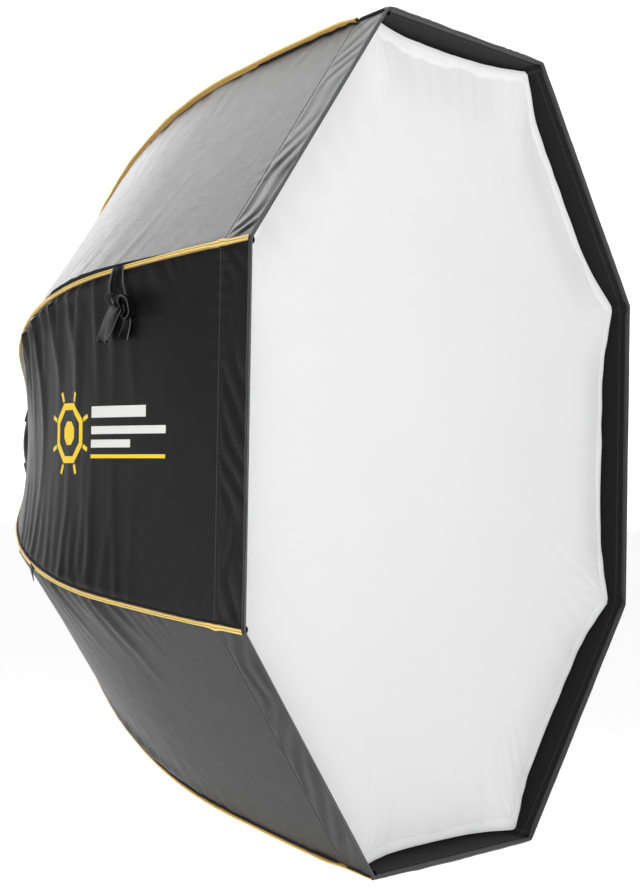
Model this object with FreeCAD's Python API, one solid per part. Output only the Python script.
import FreeCAD, Part
import math
import os

# Octagonal folding studio softbox.  Row frame: +Z up, +Y to the rear (towards the lamp head), the front
# opening faces -Y.  The origin is the centre of the seat face that lies against the lamp head.
# Each rib is drawn in its own plane: local X is radial, local Y is the row's Y, local Z is tangential.

# ---- driving dimensions, mm and degrees ----
RIBS = 8
FRONT_RADIUS = 610.0            # front opening, centre to corner (48 inch class)
FRONT_Y = -700.0                # front edge of the shell
HINGE_RADIUS = 85.0             # rib hinge pins, centre to pin
HINGE_Y = -40.0
ROOT_SLOPE = 29.0               # rib direction, degrees forward of radial, at the hinge
SHOULDER_SLOPE = 71.0           # where the tight shoulder bend ends
TIP_SLOPE = 75.5                # at the front edge
SHOULDER_BEND = 550.0           # bend radius of the rod through the shoulder
HALF_PANEL = 180.0 / RIBS       # angle between a rib and the middle of a panel

ROD_RADIUS = 2.5                # spring steel rib
ROD_TIP_RADIUS = 3.2            # rounded plastic tip
ROD_TIP_BACK = 14.0             # rod end behind the front edge, along the rib
SHELL_OFFSET = 5.2              # rib centre line to the outer face of the fabric
SHELL_THICKNESS = 1.2           # black nylon with its reflective lining
SHELL_START = 38.0              # first fabric along the rib, from the hinge
SECTOR_GAP = 0.4                # between neighbouring fabric sectors
PIPING_HALF_WIDTH = 6.5         # folded tape sewn along each rib seam
PIPING_CLEARANCE = 0.15
PIPING_THICKNESS = 1.4
PIPING_END_BACK = 4.0           # tape stops short of the front edge

DIFFUSER_DEPTH = 24.0           # front edge to the front face of the diffuser
DIFFUSER_RADIUS = 593.0         # centre to corner
CLOTH_THICKNESS = 1.5
BAFFLE_DEPTH = 307.0
BAFFLE_RADIUS = 470.0
BAFFLE_TAB_WIDTH = 10.0         # elastic tab from each baffle corner to its rib
BAFFLE_TAB_END = 495.0
DIFFUSER_PIVOT = 590.0          # radius at which each diffuser corner turns on its rib
BEAD_RADIUS = 1.0               # rolled bead at each cloth corner, on its turning axis
BEAD_LENGTH = 9.0

INSERT_BORE = 45.0              # radius of the clear way through the mount
SPIGOT_RADIUS = 48.5            # bayonet spigot that enters the lamp head
SPIGOT_LENGTH = 9.0
LUG_RADIUS = 51.5
LUG_ANGLE = 30.0
LUG_Y = (5.5, 8.5)
LUGS = 3
TUBE_RADIUS = 55.0              # the speedring turns on this
RUNNING_FIT = 0.06
FLANGE_RADIUS = 60.0
FLANGE_THICKNESS = 6.0
TUBE_FRONT_Y = -46.2
END_FLOAT = 0.2                 # axial play of the speedring

RETAINER_RADIUS = 61.0
RETAINER_THICKNESS = 4.0
RETAINER_SCREWS = 6
RETAINER_SCREW_CIRCLE = 50.0
SCREW_RADIUS = 1.5
SCREW_HEAD_RADIUS = 2.8
SCREW_HEAD_HEIGHT = 1.7
SCREW_DEPTH = 10.0

SLEEVE_RADIUS = 60.0            # speedring sleeve
DISC_RADIUS = 77.0              # web that carries the clevises
DISC_Y = (-46.0, -30.0)
EAR_GAP_HALF = 5.3
EAR_THICKNESS = 4.0
EAR_ROUND = 7.5
PIN_RADIUS = 2.0
PIN_BORE = 2.06
KNUCKLE_HALF_WIDTH = 5.0
KNUCKLE_ROUND = 7.0
SOCKET_HALF_HEIGHT = 5.5
SOCKET_END = 34.0               # from the hinge, along the rib
SOCKET_BOTTOM = 10.0
STOP_CLEARANCE = 0.25           # between the open rib's socket and its stop
STOP_ALONG = (13.0, 18.0)       # where the stop meets the socket, along the rib
FOLD_ANGLE = 40.0               # how far a rib folds in from the open stop

SPRING_THICKNESS = 0.8
SPRING_HALF_WIDTH = 3.0
SPRING_LENGTH = (66.0, 80.4)    # radial extent of each detent leaf
SPRING_RIVETS = (69.0, 74.0)    # radial places of the rivets through each leaf
RIVET_RADIUS = 1.0
RIVET_HEAD_RADIUS = 1.8
RIVET_HEAD_HEIGHT = 0.6
RIVET_DEPTH = 5.0
DETENT_RADIUS = 1.0
DETENT_DROP = 5.2               # bump centre, forward of the hinge pin
DETENT_INSET = 5.2              # bump centre, inside the hinge pin

KNOB_ANGLE = 90.0               # lock knob stands at the top
KNOB_Y = -13.5
BOSS_RADIUS = 7.0
BOSS_TOP = 74.0
STUD_RADIUS = 3.0
STUD_BORE = 3.06
STUD_START = 58.6
KNOB_RADIUS = 10.0
KNOB_BASE = 76.5
KNOB_TOP = 91.0
KNOB_SCALLOPS = 8
KNOB_SCALLOP_RADIUS = 2.2
PAD_RADIUS = 2.6
PAD_CLEARANCE = 0.05

COLLAR_THICKNESS = 1.2
COLLAR_OUTLINE = ((66.0, -24.6), (104.0, -26.0), (118.0, -38.0), (132.0, -57.7))
COLLAR_ROOT_RADIUS = 61.0

STRAP_RIB = 4                   # the tie strap hangs from this rib's seam
STRAP_DEPTH = 234.0             # behind the front edge
STRAP_WIDTH = 14.0
STRAP_LENGTH = 84.0
STRAP_LIFT = 7.2                # rib centre line to the strap
STRAP_THICKNESS = 3.0

ORIGIN = FreeCAD.Vector(0, 0, 0)
ALONG_X = FreeCAD.Vector(1, 0, 0)
ALONG_Y = FreeCAD.Vector(0, 1, 0)
ALONG_Z = FreeCAD.Vector(0, 0, 1)


def sine(degrees):
    return math.sin(math.radians(degrees))


def cosine(degrees):
    return math.cos(math.radians(degrees))


def rib_angle(number):
    return HALF_PANEL + (number - 1) * 2 * HALF_PANEL


def turned(shape, angle):
    """A shape drawn in the local rib plane, turned to this angle about the optical axis."""
    copy = shape.copy()
    copy.rotate(ORIGIN, ALONG_Y, -angle)
    return copy


def at_every_rib(shape):
    """The same small piece at each rib, as separate solids of one group."""
    return Part.makeCompound([turned(shape, rib_angle(number)) for number in range(1, RIBS + 1)])


def export(name, shape):
    shape.exportStep("parts/" + name + ".step")


def ring(inner, outer, low, high):
    """A flat ring about the Y axis."""
    start = FreeCAD.Vector(0, low, 0)
    disc = Part.makeCylinder(outer, high - low, start, ALONG_Y)
    hole = Part.makeCylinder(inner, high - low + 2, start - ALONG_Y, ALONG_Y)
    return disc.cut(hole)


def plate(points, low, high):
    """A polygon in the local rib plane, from one tangential level to another."""
    corners = [FreeCAD.Vector(x, y, low) for x, y in points]
    return Part.Face(Part.makePolygon(corners + corners[:1])).extrude(FreeCAD.Vector(0, 0, high - low))


# ---- the rib's line ----

def ahead(slope):
    return FreeCAD.Vector(cosine(slope), -sine(slope), 0)


def outward(slope):
    return FreeCAD.Vector(sine(slope), cosine(slope), 0)


def on_arc(radius, start, end):
    """The step from the start to the end of a bend, between two slopes."""
    return FreeCAD.Vector(sine(end) - sine(start), cosine(end) - cosine(start), 0) * radius


HINGE = FreeCAD.Vector(HINGE_RADIUS, HINGE_Y, 0)
SPRING_Y = DISC_Y[0] - SPRING_THICKNESS - 0.05      # front face of the detent leaves
FRONT_CHORD_SLOPE = (SHOULDER_SLOPE + TIP_SLOPE) / 2


def solve_lengths():
    """Straight root length and front chord that bring the fabric to the front corner."""
    front = FreeCAD.Vector(FRONT_RADIUS, FRONT_Y, 0) - outward(TIP_SLOPE) * SHELL_OFFSET
    left = front - HINGE - on_arc(SHOULDER_BEND, ROOT_SLOPE, SHOULDER_SLOPE)
    root = ahead(ROOT_SLOPE)
    chord = ahead(FRONT_CHORD_SLOPE)
    scale = root.x * chord.y - root.y * chord.x
    return (left.x * chord.y - left.y * chord.x) / scale, (root.x * left.y - root.y * left.x) / scale


ROOT_LENGTH, FRONT_CHORD = solve_lengths()
FRONT_BEND = FRONT_CHORD / (2 * sine((TIP_SLOPE - SHOULDER_SLOPE) / 2))
SHOULDER_START = HINGE + ahead(ROOT_SLOPE) * ROOT_LENGTH
SHOULDER_END = SHOULDER_START + on_arc(SHOULDER_BEND, ROOT_SLOPE, SHOULDER_SLOPE)


def shoulder_point(slope, offset):
    centre_line = SHOULDER_START + on_arc(SHOULDER_BEND, ROOT_SLOPE, slope)
    return centre_line + outward(slope) * offset


def front_point(slope, offset):
    centre_line = SHOULDER_END + on_arc(FRONT_BEND, SHOULDER_SLOPE, slope)
    return centre_line + outward(slope) * offset


def rib_edges(offset, start, end_back):
    """Edges beside the rib's centre line, from the root to a distance behind the front edge."""
    last = TIP_SLOPE - math.degrees(end_back / FRONT_BEND)
    first = HINGE + ahead(ROOT_SLOPE) * start + outward(ROOT_SLOPE) * offset
    bend_start = shoulder_point(ROOT_SLOPE, offset)
    bend_middle = shoulder_point((ROOT_SLOPE + SHOULDER_SLOPE) / 2, offset)
    bend_end = shoulder_point(SHOULDER_SLOPE, offset)
    front_middle = front_point((SHOULDER_SLOPE + last) / 2, offset)
    return [
        Part.LineSegment(first, bend_start).toShape(),
        Part.Arc(bend_start, bend_middle, bend_end).toShape(),
        Part.Arc(bend_end, front_middle, front_point(last, offset)).toShape(),
    ]


def rib_band(inner, outer, start, end_back):
    """A strip of the rib plane between two offsets from the rib's centre line."""
    inside = rib_edges(inner, start, end_back)
    outside = rib_edges(outer, start, end_back)
    root = Part.LineSegment(inside[0].Vertexes[0].Point, outside[0].Vertexes[0].Point).toShape()
    tip = Part.LineSegment(inside[-1].Vertexes[-1].Point, outside[-1].Vertexes[-1].Point).toShape()
    return Part.Face(Part.Wire(inside + [tip] + outside[::-1] + [root]))


def across_panel(length):
    """Along the panel beside the rib, from the seam towards the middle of the panel."""
    return FreeCAD.Vector(-sine(HALF_PANEL), 0, cosine(HALF_PANEL)) * length


def sector_wedge(gap):
    """The share of space that belongs to one rib, less half the gap on each side."""
    reach = 2 * FRONT_RADIUS
    apex = gap / 2 / sine(HALF_PANEL)
    side = (reach - apex) * sine(HALF_PANEL) / cosine(HALF_PANEL)
    points = [(apex, 0), (reach, side), (reach, -side)]
    corners = [FreeCAD.Vector(x, FRONT_Y - 50, z) for x, z in points]
    face = Part.Face(Part.makePolygon(corners + corners[:1]))
    return face.extrude(ALONG_Y * (50 - FRONT_Y + 50))


def both_sides(half):
    other = half.mirror(ORIGIN, ALONG_Z)
    return half.fuse(other).removeSplitter()


# ---- fabric ----

def shell_gore():
    """Two half panels that meet at the rib seam."""
    band = rib_band(SHELL_OFFSET - SHELL_THICKNESS, SHELL_OFFSET, SHELL_START, 0.0)
    half = band.extrude(across_panel(FRONT_RADIUS)).common(sector_wedge(SECTOR_GAP))
    return both_sides(half)


def piping_tape():
    """The folded tape that covers the rib seam."""
    inner = SHELL_OFFSET + PIPING_CLEARANCE
    band = rib_band(inner, inner + PIPING_THICKNESS, SHELL_START, PIPING_END_BACK)
    slab = Part.makeBox(
        2 * FRONT_RADIUS, -2 * FRONT_Y, 2 * PIPING_HALF_WIDTH,
        FreeCAD.Vector(0, 2 * FRONT_Y, -PIPING_HALF_WIDTH))
    half = band.extrude(across_panel(3 * PIPING_HALF_WIDTH)).common(slab)
    return both_sides(half)


def cloth_sector(radius, depth):
    """One corner's share of a flat octagon of cloth."""
    side = radius * cosine(HALF_PANEL) * sine(HALF_PANEL)
    middle = radius * cosine(HALF_PANEL) ** 2
    points = [(0, 0), (middle, side), (radius, 0), (middle, -side)]
    corners = [FreeCAD.Vector(x, FRONT_Y + depth, z) for x, z in points]
    face = Part.Face(Part.makePolygon(corners + corners[:1]))
    return face.extrude(ALONG_Y * CLOTH_THICKNESS).common(sector_wedge(SECTOR_GAP))


def corner_bead(radius, depth):
    """The rolled bead that a cloth corner turns on."""
    start = FreeCAD.Vector(radius, FRONT_Y + depth + CLOTH_THICKNESS / 2, -BEAD_LENGTH / 2)
    return Part.makeCylinder(BEAD_RADIUS, BEAD_LENGTH, start, ALONG_Z)


def diffuser_sector():
    cloth = cloth_sector(DIFFUSER_RADIUS, DIFFUSER_DEPTH)
    return cloth.fuse(corner_bead(DIFFUSER_PIVOT, DIFFUSER_DEPTH)).removeSplitter()


def baffle_sector():
    """A share of the inner baffle, with the elastic tab that ties its corner to the rib."""
    cloth = cloth_sector(BAFFLE_RADIUS, BAFFLE_DEPTH)
    tab_start = BAFFLE_RADIUS - BAFFLE_TAB_WIDTH
    corner = FreeCAD.Vector(tab_start, FRONT_Y + BAFFLE_DEPTH, -BAFFLE_TAB_WIDTH / 2)
    tab = Part.makeBox(BAFFLE_TAB_END - tab_start, CLOTH_THICKNESS, BAFFLE_TAB_WIDTH, corner)
    return cloth.fuse(tab).fuse(corner_bead(BAFFLE_TAB_END, BAFFLE_DEPTH)).removeSplitter()


def rear_collar():
    """A cuff of fabric that closes the gap between the speedring and the shell."""
    outline = [FreeCAD.Vector(COLLAR_ROOT_RADIUS, COLLAR_OUTLINE[0][1], 0)]
    outline += [FreeCAD.Vector(r, y, 0) for r, y in COLLAR_OUTLINE]
    back = [point + ALONG_Y * COLLAR_THICKNESS for point in reversed(outline)]
    face = Part.Face(Part.makePolygon(outline + back + outline[:1]))
    return face.revolve(ORIGIN, ALONG_Y, 360)


def tie_strap():
    """A doubled webbing strap that hangs down the side panel from a rib seam."""
    slope = strap_slope()
    middle = front_point(slope, STRAP_LIFT)
    along = ahead(slope) * (STRAP_WIDTH / 2)
    up = outward(slope) * STRAP_THICKNESS
    corners = [middle - along, middle + along, middle + along + up, middle - along + up]
    return Part.Face(Part.makePolygon(corners + corners[:1])).extrude(across_panel(STRAP_LENGTH))


def strap_slope():
    """The rib's slope at the depth where the strap is sewn."""
    low, high = SHOULDER_SLOPE, TIP_SLOPE
    for _ in range(40):
        slope = (low + high) / 2
        if front_point(slope, SHELL_OFFSET).y > FRONT_Y + STRAP_DEPTH:
            low = slope
        else:
            high = slope
    return slope


# ---- ribs ----

def rib_rod():
    """A spring steel rod in its socket, with a rounded tip."""
    path = Part.Wire(rib_edges(0.0, SOCKET_BOTTOM + 0.2, ROD_TIP_BACK))
    start = HINGE + ahead(ROOT_SLOPE) * (SOCKET_BOTTOM + 0.2)
    section = Part.Wire(Part.makeCircle(ROD_RADIUS, start, ahead(ROOT_SLOPE)))
    rod = path.makePipeShell([section], True, False)
    tip = Part.makeSphere(ROD_TIP_RADIUS, path.Vertexes[-1].Point)
    return rod.fuse(tip)


def beside(along, up):
    """A point given by its distance along the rib's root line and its height above it."""
    point = HINGE + ahead(ROOT_SLOPE) * along + outward(ROOT_SLOPE) * up
    return point.x, point.y


def detent_notch(fold):
    """The groove that the detent bump drops into at this fold angle."""
    start = FreeCAD.Vector(
        HINGE_RADIUS - DETENT_INSET, HINGE_Y - DETENT_DROP, -2 * KNUCKLE_HALF_WIDTH)
    groove = Part.makeCylinder(DETENT_RADIUS + 0.3, 4 * KNUCKLE_HALF_WIDTH, start, ALONG_Z)
    groove.rotate(HINGE, ALONG_Z, fold)
    return groove


def rib_knuckle():
    """The hinge block at a rib's root, with its pin bore, rod socket and two detent grooves."""
    eye = Part.makeCylinder(
        KNUCKLE_ROUND, 2 * KNUCKLE_HALF_WIDTH, HINGE - ALONG_Z * KNUCKLE_HALF_WIDTH, ALONG_Z)
    corners = [
        beside(0, -SOCKET_HALF_HEIGHT), beside(SOCKET_END, -SOCKET_HALF_HEIGHT),
        beside(SOCKET_END, SOCKET_HALF_HEIGHT), beside(0, SOCKET_HALF_HEIGHT)]
    body = eye.fuse(plate(corners, -KNUCKLE_HALF_WIDTH, KNUCKLE_HALF_WIDTH))
    pin_bore = Part.makeCylinder(
        PIN_BORE, 4 * KNUCKLE_HALF_WIDTH, HINGE - ALONG_Z * 2 * KNUCKLE_HALF_WIDTH, ALONG_Z)
    socket = Part.makeCylinder(
        ROD_RADIUS + 0.02, SOCKET_END, HINGE + ahead(ROOT_SLOPE) * SOCKET_BOTTOM, ahead(ROOT_SLOPE))
    body = body.cut(pin_bore).cut(socket)
    for fold in (0.0, FOLD_ANGLE):
        body = body.cut(detent_notch(fold))
    return body.removeSplitter()


# ---- hub ----

def bayonet_insert():
    """The fixed mount: a flange seat, a lugged spigot behind it and the tube the speedring turns on."""
    tube = ring(INSERT_BORE, TUBE_RADIUS, TUBE_FRONT_Y, 0)
    flange = ring(INSERT_BORE, FLANGE_RADIUS, -FLANGE_THICKNESS, 0)
    spigot = ring(INSERT_BORE, SPIGOT_RADIUS, -1, SPIGOT_LENGTH)
    body = tube.fuse(flange).fuse(spigot)
    for lug in range(LUGS):
        body = body.fuse(bayonet_lug(lug * 360 / LUGS))
    body = body.removeSplitter()
    for number in range(RETAINER_SCREWS):
        body = body.cut(retainer_hole(number))
    return body


def bayonet_lug(angle):
    """One lug that turns behind the lamp head's catches."""
    low, high = LUG_Y
    start = FreeCAD.Vector(0, low, 0)
    sweep = Part.makeCylinder(LUG_RADIUS, high - low, start, ALONG_Y, LUG_ANGLE)
    hole = Part.makeCylinder(SPIGOT_RADIUS - 1, high - low + 2, start - ALONG_Y, ALONG_Y)
    return turned(sweep.cut(hole), angle)


def retainer_place(number):
    angle = number * 360 / RETAINER_SCREWS
    return FreeCAD.Vector(RETAINER_SCREW_CIRCLE * cosine(angle), 0, RETAINER_SCREW_CIRCLE * sine(angle))


def retainer_hole(number):
    start = retainer_place(number) + ALONG_Y * (TUBE_FRONT_Y - 10)
    return Part.makeCylinder(SCREW_RADIUS + 0.02, SCREW_DEPTH + 10.5, start, ALONG_Y)


def retaining_ring():
    """Screwed to the front of the insert; it keeps the speedring on."""
    body = ring(INSERT_BORE + 1, RETAINER_RADIUS, TUBE_FRONT_Y - RETAINER_THICKNESS, TUBE_FRONT_Y)
    for number in range(RETAINER_SCREWS):
        body = body.cut(retainer_hole(number))
    return body


def retaining_screws():
    """Pan-head screws through the retaining ring into the insert."""
    solids = []
    for number in range(RETAINER_SCREWS):
        seat = retainer_place(number) + ALONG_Y * (TUBE_FRONT_Y - RETAINER_THICKNESS)
        shank = Part.makeCylinder(SCREW_RADIUS, SCREW_DEPTH + RETAINER_THICKNESS, seat, ALONG_Y)
        head = Part.makeCylinder(SCREW_HEAD_RADIUS, SCREW_HEAD_HEIGHT, seat, -ALONG_Y)
        slot = Part.makeCylinder(0.8, 1.0, seat - ALONG_Y * SCREW_HEAD_HEIGHT, ALONG_Y)
        solids.append(head.fuse(shank).cut(slot))
    return Part.makeCompound(solids)


def clevis():
    """Two ears, the floor behind the knuckle and the stop that the open rib rests on."""
    ear_outline = [
        (DISC_RADIUS - 3, HINGE_Y - EAR_ROUND), (HINGE_RADIUS, HINGE_Y - EAR_ROUND),
        (HINGE_RADIUS, HINGE_Y + EAR_ROUND), (DISC_RADIUS - 3, HINGE_Y + EAR_ROUND)]
    ear_outer = EAR_GAP_HALF + EAR_THICKNESS
    ears = []
    for low, high in ((EAR_GAP_HALF, ear_outer), (-ear_outer, -EAR_GAP_HALF)):
        round_end = Part.makeCylinder(EAR_ROUND, high - low, HINGE + ALONG_Z * low, ALONG_Z)
        ears.append(plate(ear_outline, low, high).fuse(round_end))
    floor_front = HINGE_Y + EAR_ROUND + 0.5
    floor_back = DISC_Y[1] + 2.0
    stop_near = beside(STOP_ALONG[0], SOCKET_HALF_HEIGHT + STOP_CLEARANCE)
    stop_far = beside(STOP_ALONG[1], SOCKET_HALF_HEIGHT + STOP_CLEARANCE)
    floor = plate(
        [(DISC_RADIUS - 3, floor_front), (stop_near[0], floor_front), stop_near, stop_far,
         (stop_far[0], floor_back), (DISC_RADIUS - 3, floor_back)],
        -ear_outer, ear_outer)
    return ears[0].fuse([ears[1], floor])


def speedring_body():
    """The turning ring: sleeve, web, a clevis for each rib and the lock knob's boss."""
    sleeve = ring(
        TUBE_RADIUS + RUNNING_FIT, SLEEVE_RADIUS, TUBE_FRONT_Y + END_FLOAT, -FLANGE_THICKNESS - END_FLOAT)
    web = ring(SLEEVE_RADIUS - 1, DISC_RADIUS, *DISC_Y)
    boss = turned(
        Part.makeCylinder(
            BOSS_RADIUS, BOSS_TOP - SLEEVE_RADIUS + 2,
            FreeCAD.Vector(SLEEVE_RADIUS - 2, KNOB_Y, 0), ALONG_X),
        KNOB_ANGLE)
    body = sleeve.fuse(web).fuse(boss)
    pin = Part.makeCylinder(PIN_RADIUS + 0.01, 40, HINGE - ALONG_Z * 20, ALONG_Z)
    for number in range(1, RIBS + 1):
        body = body.fuse(turned(clevis(), rib_angle(number)))
    for number in range(1, RIBS + 1):
        for bore in [pin] + rivet_bores():
            body = body.cut(turned(bore, rib_angle(number)))
    stud = Part.makeCylinder(
        STUD_BORE, BOSS_TOP, FreeCAD.Vector(TUBE_RADIUS - 5, KNOB_Y, 0), ALONG_X)
    return body.cut(turned(stud, KNOB_ANGLE)).removeSplitter()


def hinge_pins():
    """One pin across each clevis."""
    half = EAR_GAP_HALF + EAR_THICKNESS
    return at_every_rib(Part.makeCylinder(PIN_RADIUS, 2 * half, HINGE - ALONG_Z * half, ALONG_Z))


def rivet_bores():
    """Room for the rivets of one leaf."""
    bores = []
    for place in SPRING_RIVETS:
        start = FreeCAD.Vector(place, SPRING_Y - 1, 0)
        bores.append(Part.makeCylinder(RIVET_RADIUS + 0.02, RIVET_DEPTH + 2, start, ALONG_Y))
    return bores


def detent_springs():
    """Leaf springs on the front of the web; each bump drops into a groove of its knuckle."""
    low, high = SPRING_LENGTH
    leaf = Part.makeBox(
        high - low, SPRING_THICKNESS, 2 * SPRING_HALF_WIDTH,
        FreeCAD.Vector(low, SPRING_Y, -SPRING_HALF_WIDTH))
    bump = Part.makeCylinder(
        DETENT_RADIUS, 2 * SPRING_HALF_WIDTH,
        FreeCAD.Vector(HINGE_RADIUS - DETENT_INSET, HINGE_Y - DETENT_DROP, -SPRING_HALF_WIDTH), ALONG_Z)
    spring = leaf.fuse(bump).removeSplitter().cut(rivet_bores())
    return at_every_rib(spring)


def spring_rivets():
    """Two rivets hold each leaf on the web."""
    rivets = []
    for place in SPRING_RIVETS:
        seat = FreeCAD.Vector(place, SPRING_Y, 0)
        shank = Part.makeCylinder(RIVET_RADIUS, RIVET_DEPTH, seat, ALONG_Y)
        head = Part.makeCylinder(RIVET_HEAD_RADIUS, RIVET_HEAD_HEIGHT, seat, -ALONG_Y)
        rivets.append(head.fuse(shank))
    return at_every_rib(Part.makeCompound(rivets))


def radial_rod(radius, low, high):
    return Part.makeCylinder(radius, high - low, FreeCAD.Vector(low, KNOB_Y, 0), ALONG_X)


def lock_stud():
    """Threaded stud pressed into the knob."""
    return turned(radial_rod(STUD_RADIUS, STUD_START, KNOB_TOP - 5), KNOB_ANGLE)


def lock_knob():
    """Scalloped plastic knob."""
    body = radial_rod(KNOB_RADIUS, KNOB_BASE, KNOB_TOP)
    for number in range(KNOB_SCALLOPS):
        angle = number * 360 / KNOB_SCALLOPS
        scallop = radial_rod(KNOB_SCALLOP_RADIUS, KNOB_BASE - 1, KNOB_TOP + 1)
        scallop.translate(FreeCAD.Vector(0, KNOB_RADIUS * cosine(angle), KNOB_RADIUS * sine(angle)))
        body = body.cut(scallop)
    body = body.cut(radial_rod(STUD_RADIUS + 0.01, KNOB_BASE - 1, KNOB_TOP - 5))
    return turned(body, KNOB_ANGLE)


def pressure_pad():
    """Soft pad that the stud presses on the insert's tube."""
    pad = radial_rod(PAD_RADIUS, TUBE_RADIUS - 2, STUD_START - 0.05)
    tube = Part.makeCylinder(
        TUBE_RADIUS + PAD_CLEARANCE, 40, FreeCAD.Vector(0, KNOB_Y - 20, 0), ALONG_Y)
    return turned(pad.cut(tube), KNOB_ANGLE)


def export_ribs():
    """Every rib takes its share of the shell, its piping and its corner of each cloth."""
    pieces = (
        ("rib_{}_rod", rib_rod()),
        ("rib_{}_knuckle", rib_knuckle()),
        ("shell_gore_{}", shell_gore()),
        ("piping_tape_{}", piping_tape()),
        ("diffuser_sector_{}", diffuser_sector()),
        ("baffle_sector_{}", baffle_sector()),
    )
    for number in range(1, RIBS + 1):
        for name, shape in pieces:
            export(name.format(number), turned(shape, rib_angle(number)))


def export_hub():
    export("bayonet_insert", bayonet_insert())
    export("retaining_ring", retaining_ring())
    export("retaining_screws", retaining_screws())
    export("speedring_body", speedring_body())
    export("hinge_pins", hinge_pins())
    export("detent_springs", detent_springs())
    export("spring_rivets", spring_rivets())
    export("pressure_pad", pressure_pad())
    export("lock_stud", lock_stud())
    export("lock_knob", lock_knob())
    export("rear_collar", rear_collar())
    export("tie_strap", turned(tie_strap(), rib_angle(STRAP_RIB)))


os.makedirs("parts", exist_ok=True)
export_ribs()
export_hub()
